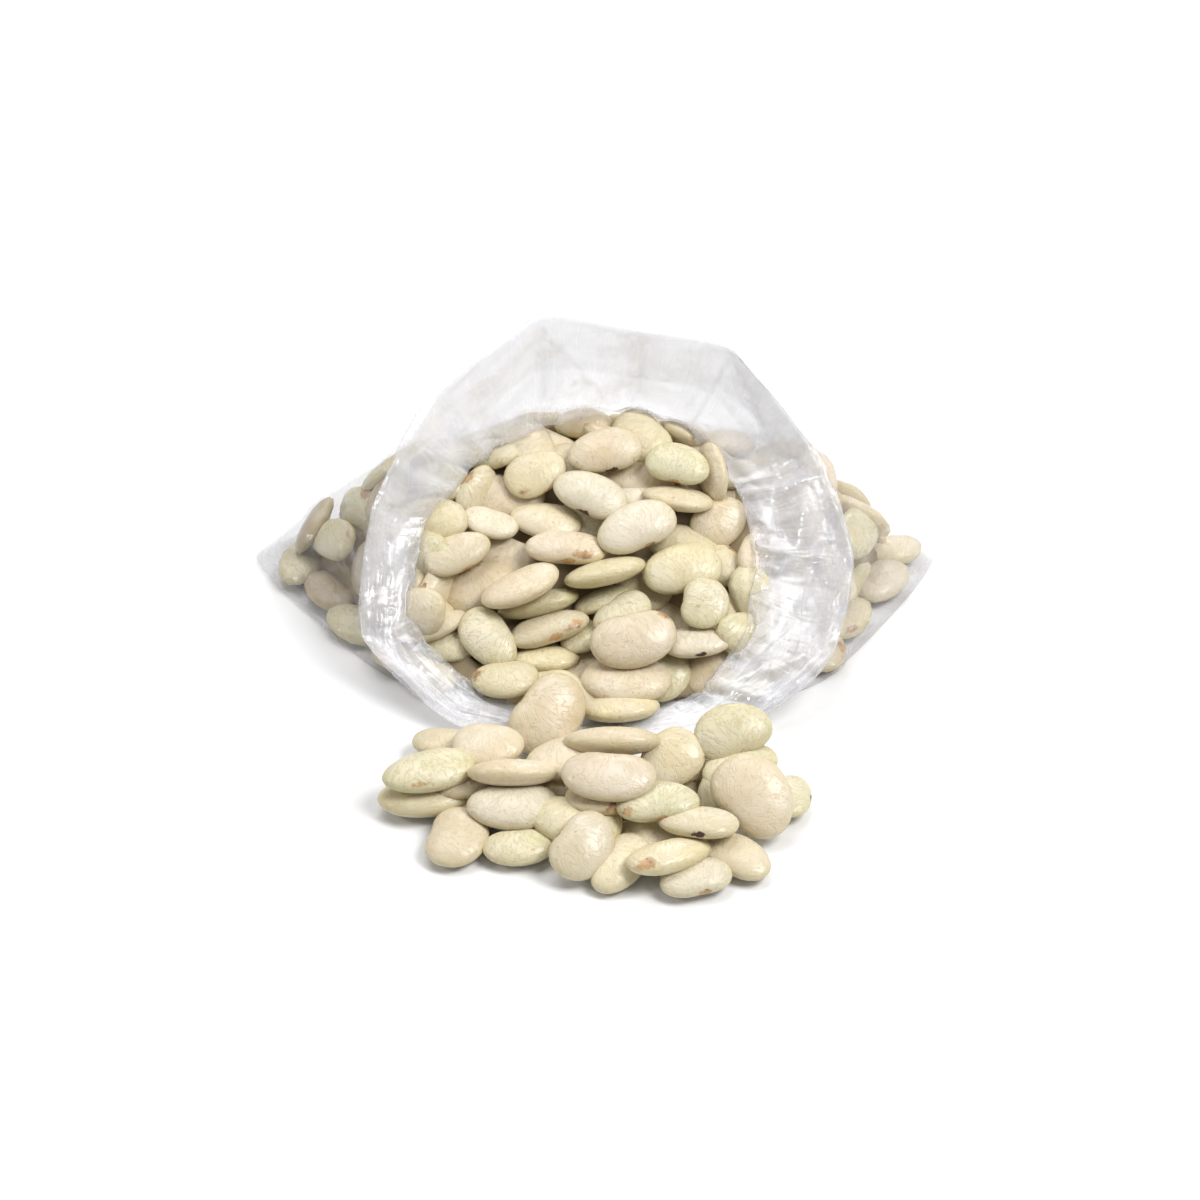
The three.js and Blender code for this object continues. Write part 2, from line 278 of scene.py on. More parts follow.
# %% One bean, modelled from its outline and its thickness
OUTLINE_POWER = 0.94  # 1 is an ellipse, less is a little squarer
DENT_REACH = 0.36  # of the dent, along half the bean's length


def bean_mesh(name, around, across, dent, bend, taper, thin):
    """A bean one unit long from end to end, with its scar towards -Y."""
    latitude = np.linspace(-math.pi / 2, math.pi / 2, across + 1)[1:-1]
    turn = np.arange(around) * 2 * math.pi / around
    lat, theta = np.meshgrid(latitude, turn, indexing="ij")
    reach = np.cos(lat) ** thin
    x = np.sign(np.cos(theta)) * reach * np.abs(np.cos(theta)) ** OUTLINE_POWER
    y = np.sign(np.sin(theta)) * reach * np.abs(np.sin(theta)) ** OUTLINE_POWER
    y = np.where(y < 0, y * (1 - dent * np.exp(-((x / DENT_REACH) ** 2))), y)
    y = y * (1 + taper * x) - bend * (x**2 - 0.3) * reach
    z = np.sin(lat)
    grid, ends = np.stack([x, y, z], -1), np.array([[0, 0.02, -1], [0, 0.02, 1]])
    mesh = ring_mesh(name, grid / 2, *(ends / 2))
    points = np.vstack([grid.reshape(-1, 3), ends])
    scar_y = -(1 - dent) + bend * 0.3
    away = (points - [0.05, scar_y, 0]) / [0.24, 0.20, 0.42]
    store(mesh, "scar", np.exp(-(away**2).sum(1)))
    store(mesh, "skin", points)
    return mesh


# dent, bend, taper, and how thin the rim is: under 1 it is thick, over 1 it is sharp
BEAN_KINDS = [
    (0.10, 0.06, 0.06, 1.04),
    (0.13, 0.09, -0.08, 0.98),
    (0.05, 0.04, 0.12, 1.10),
    (0.12, 0.06, 0.00, 1.00),
    (0.03, 0.02, -0.12, 1.12),
]


def bean_kinds(label, around, across):
    """A collection of the five kinds, outside the scene."""
    shelf = bpy.data.collections.new(label)
    for number, shape in enumerate(BEAN_KINDS):
        mesh = bean_mesh(f"{label}_{number}", around, across, *shape)
        shelf.objects.link(bpy.data.objects.new(mesh.name, mesh))
    return shelf


shown_kinds = bean_kinds("shown_bean", 30, 14)
hidden_kinds = bean_kinds("hidden_bean", 14, 7)

# %% [markdown]
# Where the beans lie. Those that show in the mouth and in front of the bag are laid one by one, as
# the real ones lie, so that the same pale, green and pink ones come out on top. The slope of the
# mouth rises from the front lip to the back. Each row says where a bean's middle is, its height
# above the slope or the floor, how it is turned, its size, and its tint. A capital letter is a
# bean that shows a dark scar, a letter with an o one that shows an orange scar, and the others
# have turned theirs away.

# %% The beans in the mouth and in front of it
LIP_Y, SLOPE_FOOT, SLOPE_LEAN = -57, 3, 27.5
SLOPE_RISE = math.tan(math.radians(SLOPE_LEAN))

# x, y, height above the slope, heading, roll, length, width, tint
MOUTH_BEANS = [
    (13, 21, 0, 130, 0, 20, 15, "Y"), (2, 15, 2.5, 12, 0, 22, 14, "T"),
    (-5, 13, 0, -30, -20, 20, 13, "c"), (-18, 9, 2, 28, 0, 19, 14, "yo"),
    (23, 11, 2.5, -15, 0, 19, 13, "go"), (12, 11, -1, 5, -10, 24, 15, "t"),
    (33, 9, 2, 105, -62, 19, 13, "c"), (23, 1, 3, -10, -46, 21, 14, "c"),
    (35, -4, 1, 40, 10, 18, 14, "t"), (-2, 2, 3, -25, -5, 23, 14, "W"),
    (11, -8, 4, 25, 0, 24, 15, "wo"), (-2, -1, -2, 0, 0, 20, 14, "g"),
    (12, 5, -1, 0, -20, 22, 14, "w"), (-15, -4, 1.5, -10, -15, 21, 13, "c"),
    (-31, -5, 2, -20, -25, 17, 12, "w"), (-26, 5, -1, 0, 0, 22, 15, "p"),
    (-35, 5, 1, 60, 40, 17, 11, "y"), (-40, -4, 0, 0, 0, 16, 12, "y"),
    (-9, -13, 3, -3, -25, 24, 13, "po"), (-40, -14, 2.5, 25, -10, 20, 13, "co"),
    (-27, -12, -1, -30, 0, 20, 14, "c"), (24, -19, 3, 12, 0, 23, 16, "Y"),
    (24, -10, 0.5, -15, -10, 22, 14, "y"), (35, -14, -1, -40, 0, 18, 13, "y"),
    (30, -29, 4, 80, 0, 16, 14, "g"), (2, -19, 2, 15, -55, 24, 14, "y"),
    (1, -25, 0, 25, -45, 17, 12, "g"), (7, -29, 0, 35, -10, 18, 13, "g"),
    (13, -21, -1, -30, 0, 17, 13, "y"), (-22, -24, 3.5, 27, -35, 24, 15, "p"),
    (-17, -27, 1, 15, -58, 24, 14, "g"), (-34, -22, 1, 20, 0, 22, 15, "t"),
    (-47, -26, 2, 62, 60, 25, 14, "c"), (-45, -33, 1, 30, -45, 17, 12, "c"),
    (-31, -38, 3, -55, 0, 21, 14, "g"), (-14, -35, 2.5, 18, -38, 24, 14, "co"),
    (-15, -42, 1, 0, -40, 20, 13, "y"), (-4, -36, 1, 30, -20, 14, 11, "g"),
    (-41, -37, 0, 10, -10, 16, 12, "g"), (-26, -49, 3, 5, -15, 19, 13, "y"),
    (10, -40, 5.5, 15, 5, 25, 17, "p"), (28, -39, 3, 5, -30, 20, 13, "W"),
    (8, -51, 5, 0, -20, 26, 17, "p"), (19, -48, 2, 40, 0, 16, 13, "g"),
    (6, -59, 4, 3, -45, 23, 15, "y"), (-14, -63, 9, 55, 15, 26, 19, "t"),
    (32, -44, 0, 50, 0, 18, 12, "t"), (38, -30, -1, 70, 0, 18, 12, "y"),
    (-15, -53, 3, 10, 0, 22, 15, "y"), (2, -55, 2, -15, 0, 20, 14, "c"),
]

# x, y, height above the floor, lean, heading, roll, length, width, tint
SPILLED_BEANS = [
    (-42, -71, 5.5, -5, -5, 0, 19, 12, "c"), (-30, -76, 9, 12, 0, 0, 20, 15, "c"),
    (-46, -87, 9, 2, 18, 0, 26, 15, "g"), (-47, -93, 4, -5, 5, 0, 26, 15, "y"),
    (-23, -90, 11, -35, 3, 0, 25, 14, "t"), (-36, -86, 5, 0, 20, 0, 22, 14, "t"),
    (-14, -88, 6, 0, -10, 0, 22, 14, "t"), (-23, -98, 6, 12, 2, 0, 25, 15, "w"),
    (-38, -108, 4, 5, 75, 0, 22, 17, "c"), (-21, -110, 4, 5, 8, 0, 20, 13, "g"),
    (-6, -103, 5, 12, -14, 0, 26, 16, "y"), (-4, -114, 6, 25, 58, 10, 21, 16, "c"),
    (3, -96, 15, 14, -5, 0, 26, 16, "p"), (2, -97, 8, -10, 0, 0, 22, 15, "t"),
    (4, -78, 12, -35, 5, 0, 27, 13, "t"), (-9, -82, 9, 10, 15, 0, 22, 15, "c"),
    (20, -84, 10.5, 32, 42, 0, 19, 16, "y"), (37, -74, 12, 32, 16, 0, 22, 16, "go"),
    (42, -100, 11, 38, 128, 0, 25, 20, "c"), (35, -91, 6, 25, 60, 0, 20, 15, "g"),
    (39, -82, 6, 10, 25, 0, 22, 14, "g"), (52, -92, 4, 0, 78, 0, 17, 13, "G"),
    (16, -101, 10, 2, 5, 0, 23, 15, "go"), (27, -107, 8, -12, -8, 0, 22, 14, "C"),
    (15, -108, 4, 0, 0, 0, 20, 13, "y"), (6, -117, 4, 10, 60, 0, 22, 13, "y"),
    (19, -117, 5, -12, 28, 0, 25, 13, "y"), (26, -125, 4, 5, 18, 0, 20, 13, "wo"),
    (37, -114, 4, 5, -36, 0, 21, 14, "co"), (-33, -97, 4, 0, 90, 0, 16, 12, "g"),
    (-33, -73, 4, 0, 40, 0, 20, 14, "c"), (24, -77, 5, 0, 90, 0, 20, 14, "c"),
    (0, -72, 6, -10, 10, 0, 22, 14, "c"),
]


def slope_height(y):
    return SLOPE_FOOT + SLOPE_RISE * (y - LIP_Y)


def laid_turn(lean, heading, roll):
    """How a bean is turned on a plane that leans towards the front."""
    steps = ((lean, "X"), (heading, "Z"), (roll, "X"))
    turn = Matrix.Identity(3)
    for degrees, axis in steps:
        turn = turn @ Matrix.Rotation(math.radians(degrees), 3, axis)
    return turn


def bean(place, turn, length, width, tint):
    if not (tint.isupper() or tint.endswith("o")):  # then its scar doesn't show
        turn = turn @ Matrix.Rotation(math.pi, 3, "Z")
    place = Vector(place)
    return SimpleNamespace(place=place, turn=turn, length=length, width=width, tint=tint)


mouth_beans = [
    bean((x, y, slope_height(y) + lift), laid_turn(SLOPE_LEAN, heading, roll), length, width, tint)
    for x, y, lift, heading, roll, length, width, tint in MOUTH_BEANS
]
spilled_beans = [
    bean((x, y, z), laid_turn(lean, heading, roll), length, width, tint)
    for x, y, z, lean, heading, roll, length, width, tint in SPILLED_BEANS
]
print(len(mouth_beans), "beans in the mouth,", len(spilled_beans), "in front of it")

# %% [markdown]
# The other beans are only seen through the film or in the gaps, so a seeded rule lays them: a
# place is drawn at random and kept where no earlier bean is too near. Under the film they lie flat
# against it. Those at the tips of the two corners are listed one by one again.

# %% The beans that a rule lays
chance = np.random.default_rng(7)
COMMON_TINTS = "ccccttyyggpw"
PAINTED_SHADE_TINTS = "cbbtbgb"  # painted shade: darker tints for the beans in the left corner, where the collar's shadow falls
SHADED_X, BARE_FRONT_Y = -50, -36  # where that corner starts, and where no bean is under the film
HIDDEN_SIZE, FILLER_SIZE, THICKNESS_SHARE = (23, 15.5), (21, 14), 0.30
SIDE_GIVES, FOOT_GIVES, NECK_GIVES = 1.5, 4.0, 1.3  # how far a bean may push the film out

# x, y, heading, length, width, tint
CORNER_BEANS = [
    (86, 18.5, 6, 20, 13, "c"), (83, 3.5, 58, 21, 14, "w"), (72, -14, 56, 20, 13, "y"),
    # the b beans of the left corner are painted shade: dark brown for the shadow that falls there
    (-87, 12.5, 72, 21, 14, "g"), (-81, 26, 28, 18, 12, "b"), (-78, -1.5, -55, 20, 13, "b"),
]


def too_near(place, others, reach):
    return any((place - other).length < reach for other in others)


def half_sizes(b):
    return Vector((b.length, b.width, b.length * THICKNESS_SHARE)) / 2


def set_on_floor(b):
    """Lifts a bean until no part of it is under the floor."""
    rise = math.hypot(*(b.turn[2][axis] * half_sizes(b)[axis] for axis in range(3)))
    b.place.z = max(b.place.z, rise + 0.5)
    return b


def past_film(b):
    """How far a bean's outline stands out of the bag, in millimetres."""
    long, wide, thick = half_sizes(b)
    turns = [math.radians(30 * step) for step in range(12)]
    outline = [(long * math.cos(a), wide * math.sin(a), 0) for a in turns]
    outline += [(0, 0, thick), (0, 0, -thick)]
    points = np.array([b.place + b.turn @ Vector(p) for p in outline])
    nearest = ((points[:, None] - side_points) ** 2).sum(2).argmin(1)
    return float(((points - side_points[nearest]) * side_faces[nearest]).sum(1).max())


def add_first_free(laid, choices, spacing, gives):
    """Adds the first of the choices that fits between the laid beans and inside the film."""
    for b in map(set_on_floor, choices):
        if not too_near(b.place, [o.place for o in laid], spacing) and past_film(b) < gives:
            laid.append(b)
            break


side_shares = np.linspace(0.01, 0.99, 26)
side_grid = np.array([side_at(np.arange(0, 360, 4), share) for share in side_shares])
side_points, side_faces = side_grid.reshape(-1, 3), grid_normals(side_grid).reshape(-1, 3)


def beans_under_film(laid, depths, spacing, tries):
    """Adds beans that lean against the film, at the first of the depths where each one fits."""
    for _ in range(tries):
        degrees, share = chance.uniform(0, 360), 0.02 + 0.96 * chance.random() ** 0.75
        sway = Vector(chance.uniform(-0.32, 0.32, 3))
        heading, size = chance.uniform(0, 360), chance.uniform(0.84, 1.08)
        site = Vector(side_at(degrees, share)[0])
        tints = PAINTED_SHADE_TINTS if site.x < SHADED_X else COMMON_TINTS
        tint = tints[chance.integers(len(tints))]
        if site.y < BARE_FRONT_Y:
            continue
        ahead = Vector(side_at(degrees + 4, share)[0] - side_at(degrees - 4, share)[0])
        above = Vector(side_at(degrees, share + 0.02)[0] - side_at(degrees, share - 0.02)[0])
        face = ahead.cross(above).normalized()
        lie = (face + sway).normalized().to_track_quat("Z", "X").to_matrix()
        turn = lie @ Matrix.Rotation(math.radians(heading), 3, "Z")
        sizes = [size * side for side in HIDDEN_SIZE]
        choices = (bean(site - face * depth, turn, *sizes, tint) for depth in depths)
        add_first_free(laid, choices, spacing, SIDE_GIVES)
    return laid


def beans_at_foot():
    """Beans that lie flat along the inside of the seam, out to the bag's corners."""
    laid = [
        set_on_floor(bean((x, y, 4.4), laid_turn(2, heading, 0), length, width, tint))
        for x, y, heading, length, width, tint in CORNER_BEANS
    ]
    for degrees in np.arange(40, 322, 2.5):
        foot, ahead = ring_at(FOOT, degrees)[0], ring_at(FOOT, degrees + 3)[0]
        run = Vector(ahead - foot).normalized()
        inward = Vector((-run.y, run.x, 0))
        heading = math.degrees(math.atan2(run.y, run.x)) + chance.normal(0, 32)
        tint, near = COMMON_TINTS[chance.integers(len(COMMON_TINTS))], chance.uniform(12.5, 17)
        turn, first = laid_turn(chance.normal(0, 12), heading, 0), chance.uniform(5.8, 7.6)
        places = [Vector(foot) + inward * (first + further) for further in (0, 1.5, 3, 5)]
        choices = (bean(place, turn, *FILLER_SIZE, tint) for place in places)
        add_first_free(laid, choices, near, FOOT_GIVES)
    return laid


def beans_between(drop, apart, spacing):
    """Fills the slope under the laid beans, drop below it."""
    laid = []
    for _ in range(1800):
        edge = ring_at(NECK, chance.uniform(0, 360))[0] * (0.1 + 0.75 * math.sqrt(chance.random()))
        heading, roll = chance.uniform(0, 360), chance.uniform(-25, 25)
        tint = COMMON_TINTS[chance.integers(len(COMMON_TINTS))]
        place = Vector((edge[0], edge[1], slope_height(edge[1]) - drop))
        flat = [Vector((*other.place.xy, place.z)) for other in mouth_beans]
        crowded = too_near(place, flat, apart) or too_near(place, [b.place for b in laid], spacing)
        if place.y < LIP_Y + 6 or crowded:
            continue
        b = bean(place, laid_turn(SLOPE_LEAN, heading, roll), *FILLER_SIZE, tint)
        if past_film(set_on_floor(b)) < NECK_GIVES:
            laid.append(b)
    return laid


print("film that they stay inside of:", len(side_points), "points")

# %% [markdown]
# Laid like this, some beans run through each other, and two that do look melted together. So they
# are moved apart before they are made. The uppermost stays and each lower one goes back along the
# camera's line of sight, which leaves the picture as it was and opens a dark gap between the two.
# In front of the bag the lowest slide forward, and those on top come towards the camera.

# %% Beans moved until they only touch
CAMERA_ELEVATION = math.radians(38)
AWAY = Vector((0, math.cos(CAMERA_ELEVATION), -math.sin(CAMERA_ELEVATION)))
FORWARD = Vector((0, -1, 0))
BEAN_REACH = 26  # beans further apart than this can't touch
CLOSE_ENOUGH, ROUNDS = 0.15, 8
UNDER_OTHERS = 4  # how many of the last rows of beans in front lie under the others
ON_FLOOR_Z = 4.6


def ball_points(count):
    """Points spread evenly over a ball of radius one."""
    step = np.arange(count) + 0.5
    height, turn = 1 - 2 * step / count, step * math.pi * (1 + math.sqrt(5))
    reach = np.sqrt(1 - height**2)
    return np.stack([reach * np.cos(turn), reach * np.sin(turn), height], -1)


BALL = ball_points(90)


def way_out(points, ways, b, half):
    """How far points must go along their ways to leave a bean of the given half sizes."""
    turn = np.array(b.turn)
    place, step = (points - np.array(b.place)) @ turn / half, ways @ turn / half
    a, half_b, c = (step**2).sum(-1), (place * step).sum(-1), (place**2).sum(-1) - 1
    out = (-half_b + np.sqrt(np.maximum(half_b**2 - a * c, 0))) / a
    return np.where(c < 0, out, 0)


def overlap(b, other, way):
    """How far b must go along a direction until it is out of the other bean, in millimetres."""
    shell = BALL * np.array(half_sizes(b)) @ np.array(b.turn).T + np.array(b.place)
    return float(way_out(shell, np.array(way), other, np.array(half_sizes(other))).max())


def settle(beans, still, way, most):
    """Moves each bean in turn along a direction until it clears those before it, or up to most."""
    still, moved = list(still), 0
    for b in beans:
        gone = 0
        for _ in range(ROUNDS):
            near = [o for o in still if (o.place - b.place).length < BEAN_REACH]
            need = max([overlap(b, other, way) for other in near], default=0)
            if need < CLOSE_ENOUGH or gone >= most:
                break
            need = min(need, most - gone)
            b.place += way * need
            gone += need
        still.append(set_on_floor(b))
        moved += gone > 0
    print(moved, "of", len(beans), "beans moved, by up to", most, "mm")


def above_slope(b):
    return b.place.z - slope_height(b.place.y)


settle(sorted(mouth_beans, key=above_slope, reverse=True), [], AWAY, most=5.5)
in_sight, under_them = spilled_beans[:-UNDER_OTHERS], spilled_beans[-UNDER_OTHERS:]
on_floor = [b for b in in_sight if b.place.z < ON_FLOOR_Z]
on_others = sorted((b for b in in_sight if b not in on_floor), key=lambda b: b.place.z)
settle(on_floor, [], FORWARD, most=2.5)
settle(on_others, on_floor, -AWAY, most=4)
settle(under_them, in_sight, AWAY, most=4)

# %% [markdown]
# Now the rules can lay the other beans. Two passes go deeper and deeper under the film, and two
# fill the gaps of the slope. The fillers then go back until they clear the beans in front of them.

# %% The beans under the film and in the gaps
side_beans = beans_under_film(beans_at_foot(), (3.4, 4.6, 6.2, 8.0), 11.4, 6500)
side_beans = beans_under_film(side_beans, (7.5, 9.5, 11.5), 9.6, 3500)
filler_beans = beans_between(drop=4, apart=9.5, spacing=11)
filler_beans += beans_between(drop=7.5, apart=0, spacing=13)
settle(sorted(filler_beans, key=above_slope, reverse=True), mouth_beans, AWAY, most=6)
print(len(side_beans), "beans under the film,", len(filler_beans), "in the gaps of the slope")

# %% [markdown]
# The skin of a bean is ivory to pale green or pink, with a satin sheen. It has faint patches, fine
# lines that spread from the scar, a few specks, a rim that is a little yellower and darker, and on
# some a torn brown stain. The rim's yellow is the skin's own, and its darkening is partly painted
# shade, which leaves the faces looking lit. The dark brown tint b is painted shade for the beans in
# the left corner. The scar is orange to nearly black. Each bean carries its own tint and marks as
# attributes, so one finish serves all of them.

# %% The skin of the beans
TINTS = {
    "c": (0.77, 0.66, 0.46),
    "t": (0.73, 0.60, 0.40),
    "y": (0.76, 0.66, 0.42),
    "g": (0.74, 0.67, 0.44),
    "p": (0.79, 0.66, 0.48),
    "w": (0.82, 0.73, 0.56),
    # b is painted shade: a dark brown that stands for the shadow on the beans in the left corner
    "b": (0.44, 0.34, 0.21),
}


def bean_skin():
    skin = Finish("bean_skin")
    place = skin.place()
    tint = skin.attribute("tint", "Color")
    mottle = skin.attribute("mottle")
    scar = skin.attribute("scar")
    dark_scar = skin.attribute("dark_scar")
    on_bean = skin.attribute("skin", "Vector")
    flecked = skin.attribute("flecked")
    stain = skin.attribute("stain", "Vector")
    patches = skin.noise(place, 150, detail=4, distortion=0.8).between(0.42, 0.66)
    colour = skin.blend(patches * mottle * 0.5, tint, (0.58, 0.58, 0.33, 1))
    pale = skin.noise(place, 90, detail=3).between(0.42, 0.72)
    colour = skin.blend(pale * 0.45, colour, (0.88, 0.82, 0.70, 1))
    along, across, height = skin.split(on_bean)
    # rim: a band that is yellower and darker towards each bean's edge; the yellow is the skin's
    # own, the darkening is partly painted shade that leaves the faces looking lit
    rim = 1 - height.math("ABSOLUTE").between(0.02, 0.62)
    colour = skin.blend(rim * 0.42, colour, (0.62, 0.53, 0.25, 1))
    spread = along.math("ARCTAN2", across + 1.25)
    fan = skin.node("ShaderNodeCombineXYZ", values={0: spread * 3.4, 1: across * 0.7, 2: height})
    shifted = skin.node("ShaderNodeVectorMath", {"operation": "ADD"}, {0: fan, 1: place * 40})
    ribs = (skin.noise(shifted, 2.6, detail=4, distortion=0.7) - 0.5).math("ABSOLUTE")
    veins = 1 - ribs.between(0.0, 0.045)
    colour = skin.blend(veins * (mottle * 0.3 + 0.2), colour, (0.54, 0.43, 0.22, 1))
    specks = skin.noise(place, 900, detail=1).between(0.70, 0.76)
    colour = skin.blend(specks * 0.38, colour, (0.34, 0.26, 0.15, 1))
    flecks = skin.noise(place, 230, detail=4, rough=0.65).between(0.66, 0.71)
    colour = skin.blend(flecks * flecked, colour, (0.45, 0.22, 0.10, 1))
    away = skin.node("ShaderNodeVectorMath", {"operation": "DISTANCE"}, {0: on_bean, 1: stain}, 1)
    torn = skin.noise(place, 330, detail=5, rough=0.72) - 0.5
    stained = (torn * 1.6 - away * 1.5 + 0.64 - dark_scar * 1.2).between(0.0, 0.22)
    stain_shade = skin.noise(place, 420, detail=2).between(0.42, 0.62)
    brown = skin.blend(stain_shade, (0.58, 0.33, 0.14, 1), (0.30, 0.15, 0.07, 1))
    colour = skin.blend(stained * 0.85, colour, brown)
    ragged = (scar + (skin.noise(place, 520, detail=4, rough=0.7) - 0.5) * 0.9).between(0.50, 0.62)
    burnt = (skin.noise(place, 650, detail=2) + dark_scar - 0.62).between(0.0, 0.3)
    scar_colour = skin.blend(burnt, (0.60, 0.33, 0.13, 1), (0.075, 0.035, 0.025, 1))
    colour = skin.blend(ragged * (dark_scar * 0.2 + 0.8), colour, scar_colour)
    grain = skin.noise(place, 900, detail=4)
    waves = skin.noise(place, 190, detail=3, distortion=0.4)
    relief = grain * 0.2 + waves * 1.3 - veins * 0.3
    roughness = skin.noise(place, 160, detail=2) * 0.25 + 0.22 + ragged * 0.25
    values = {
        "Base Color": colour,
        "Roughness": roughness,
        "Specular IOR Level": 0.45,
        "Coat Weight": 0.16,
        "Coat Roughness": 0.22,
        "Normal": skin.bump(relief, 0.48, 0.0006),
    }
    return skin.finish(skin.principled(values))


def plain_finish(name, scale, detail, low, high, roughness):
    """A dull finish with a faint cloud between two colours."""
    plain = Finish(name)
    cloud = plain.noise(plain.place(), scale, detail)
    values = {"Base Color": plain.blend(cloud, low, high), "Roughness": roughness}
    return plain.finish(plain.principled(values))


skin_material = bean_skin()
# painted shadow: the cores' dark brown stands for the shade deep in the gaps between the beans
gap_shadow_material = plain_finish(
    "bean_shade", 160, 2, (0.26, 0.20, 0.11, 1), (0.50, 0.41, 0.26, 1), 0.8
)
print("finishes", skin_material.name, gap_shadow_material.name)

# %% [markdown]
# Laying beans is what Geometry Nodes do best: a cloud of points carries each bean's kind, turn,
# size and tint, and one small tree puts a bean on every point.

# %% The tree that lays beans on points
def laying_tree():
    tree = bpy.data.node_groups.new("lay_beans", "GeometryNodeTree")
    kinds_in = {"Points": "Geometry", "Kinds": "Collection", "Skin": "Material"}
    for name, kind in kinds_in.items():
        tree.interface.new_socket(name=name, in_out="INPUT", socket_type="NodeSocket" + kind)
    tree.interface.new_socket(name="Beans", in_out="OUTPUT", socket_type="NodeSocketGeometry")

    def add(kind, **inputs):
        values = {name.replace("_", " "): value for name, value in inputs.items()}
        return add_node(tree, kind, values=values).outputs

    def stored(name, kind):
        named = "GeometryNodeInputNamedAttribute"
        outputs = add_node(tree, named, {"data_type": kind}, {"Name": name}).outputs
        return next(output for output in outputs if output.enabled)

    given = add("NodeGroupInput")
    kinds = add(
        "GeometryNodeCollectionInfo",
        Collection=given["Kinds"],
        Separate_Children=True,
        Reset_Children=True,
    )
    turned = add("FunctionNodeEulerToRotation", Euler=stored("turn", "FLOAT_VECTOR"))
    laid = add(
        "GeometryNodeInstanceOnPoints",
        Points=given["Points"],
        Instance=kinds[0],
        Pick_Instance=True,
        Instance_Index=stored("kind", "INT"),
        Rotation=turned[0],
        Scale=stored("size", "FLOAT_VECTOR"),
    )
    real = add("GeometryNodeRealizeInstances", Geometry=laid[0])
    skinned = add("GeometryNodeSetMaterial", Geometry=real[0], Material=given["Skin"])
    add("NodeGroupOutput", Beans=skinned[0])
    return tree


lay_beans = laying_tree()
print("tree", lay_beans.name, "with", len(lay_beans.nodes), "nodes")

# %% [markdown]
# A cloud is a mesh of loose points, one for each bean, with an attribute for each thing that
# differs. Half of the beans have a brown stain on the rim or near it, where the husk has torn. The
# tree's result is copied to a plain mesh, and the cloud is thrown away.

# %% Clouds of beans turned into plain meshes
STAINED_SHARE = 0.5
FAR_OFF = 9  # from a bean's middle, in half lengths, so that no stain shows


def stain_places(count):
    """A point on each bean's rim or shoulder where its stain is, or one far from a clean bean."""
    turn, height = chance.uniform(0, 2 * math.pi, count), chance.uniform(0.15, 0.6, count)
    side = np.where(chance.random(count) < 0.8, 1, -1)
    places = np.stack([0.86 * np.cos(turn), 0.86 * np.sin(turn), side * height], -1)
    places[chance.random(count) > STAINED_SHARE] = FAR_OFF
    return places


def bean_cloud(name, beans):
    """A mesh of loose points that carry what the tree and the skin read."""
    cloud = bpy.data.meshes.new(name)
    cloud.from_pydata([tuple(b.place * MM) for b in beans], [], [])
    count = len(beans)
    sizes = [(b.length, b.width, b.length * THICKNESS_SHARE) for b in beans]
    tints = np.array([TINTS[b.tint[0].lower()] for b in beans])
    tints = tints * chance.uniform(0.93, 1.04, (count, 1)) * chance.uniform(0.99, 1.01, (count, 3))
    green = np.array([b.tint[0] in "gG" for b in beans], float)
    dark = np.array([b.tint.isupper() for b in beans], float)
    fields = {
        "turn": [tuple(b.turn.to_euler()) for b in beans],
        "size": np.array(sizes) * MM,
        "kind": chance.integers(len(BEAN_KINDS), size=count),
        "tint": tints,
        "mottle": np.clip(green + chance.uniform(-0.1, 0.35, count), 0, 1),
        "dark_scar": np.maximum(dark, chance.uniform(0, 0.35, count)),
        "flecked": np.clip(chance.uniform(-1.2, 0.8, count), 0, 1),
        "stain": stain_places(count),
    }
    for label, values in fields.items():
        store(cloud, label, values)
    return cloud


def lay(name, beans, kinds):
    """Beans on the points of a cloud, as a mesh piece at the origin."""
    carrier = add_object(name + "_points", bean_cloud(name + "_points", beans))
    modifier = carrier.modifiers.new("lay", "NODES")
    modifier.node_group = lay_beans
    chosen = {"Kinds": kinds, "Skin": skin_material}
    for item in lay_beans.interface.items_tree:
        if item.in_out == "INPUT" and item.name in chosen:
            modifier[item.identifier] = chosen[item.name]
    bpy.context.view_layer.update()
    seen = carrier.evaluated_get(bpy.context.evaluated_depsgraph_get())
    mesh = bpy.data.meshes.new_from_object(seen)
    mesh.name = name
    bpy.data.objects.remove(carrier)
    print(name, len(mesh.polygons), "faces")
    return add_object(name, mesh)


beans_shown = lay("beans_in_mouth", mouth_beans, shown_kinds)
beans_filler = lay("beans_between", filler_beans, shown_kinds)
beans_side = lay("beans_under_film", side_beans, hidden_kinds)
beans_front = lay("beans_run_out", spilled_beans, shown_kinds)
for shelf in (shown_kinds, hidden_kinds):
    for kind in list(shelf.objects):
        bpy.data.objects.remove(kind)
    bpy.data.collections.remove(shelf)

# %% [markdown]
# Under the beans lies a plain brown core, so that no gap looks through the heap. Its dark brown is
# painted shadow, which stands for the shade deep in the gaps. It has the mass's own form, drawn in
# a little, and there is a low dome under the beans in front.


# %% The cores of the two heaps
def core(name, rings, bottom, top):
    """A closed brown form through rings of points, in millimetres. Its brown is painted shadow for
    the gaps.
    """
    mesh = ring_mesh(name, np.array(rings) * MM, np.array(bottom) * MM, np.array(top) * MM)
    mesh.materials.append(gap_shadow_material)
    return add_object(name, mesh)


CORE_SHARE, CORE_MIDDLE, CORE_DEPTH = np.array((0.88, 0.84, 0.82)), np.array((0, 0, 8)), 8
CORE_FLOOR_Z, CORE_LOWEST_Z = 1.3, 1.5
SPILL_Y, SPILL_HALF_X, SPILL_HALF_Y, SPILL_TOP_Z = -86, 34, 12, 7


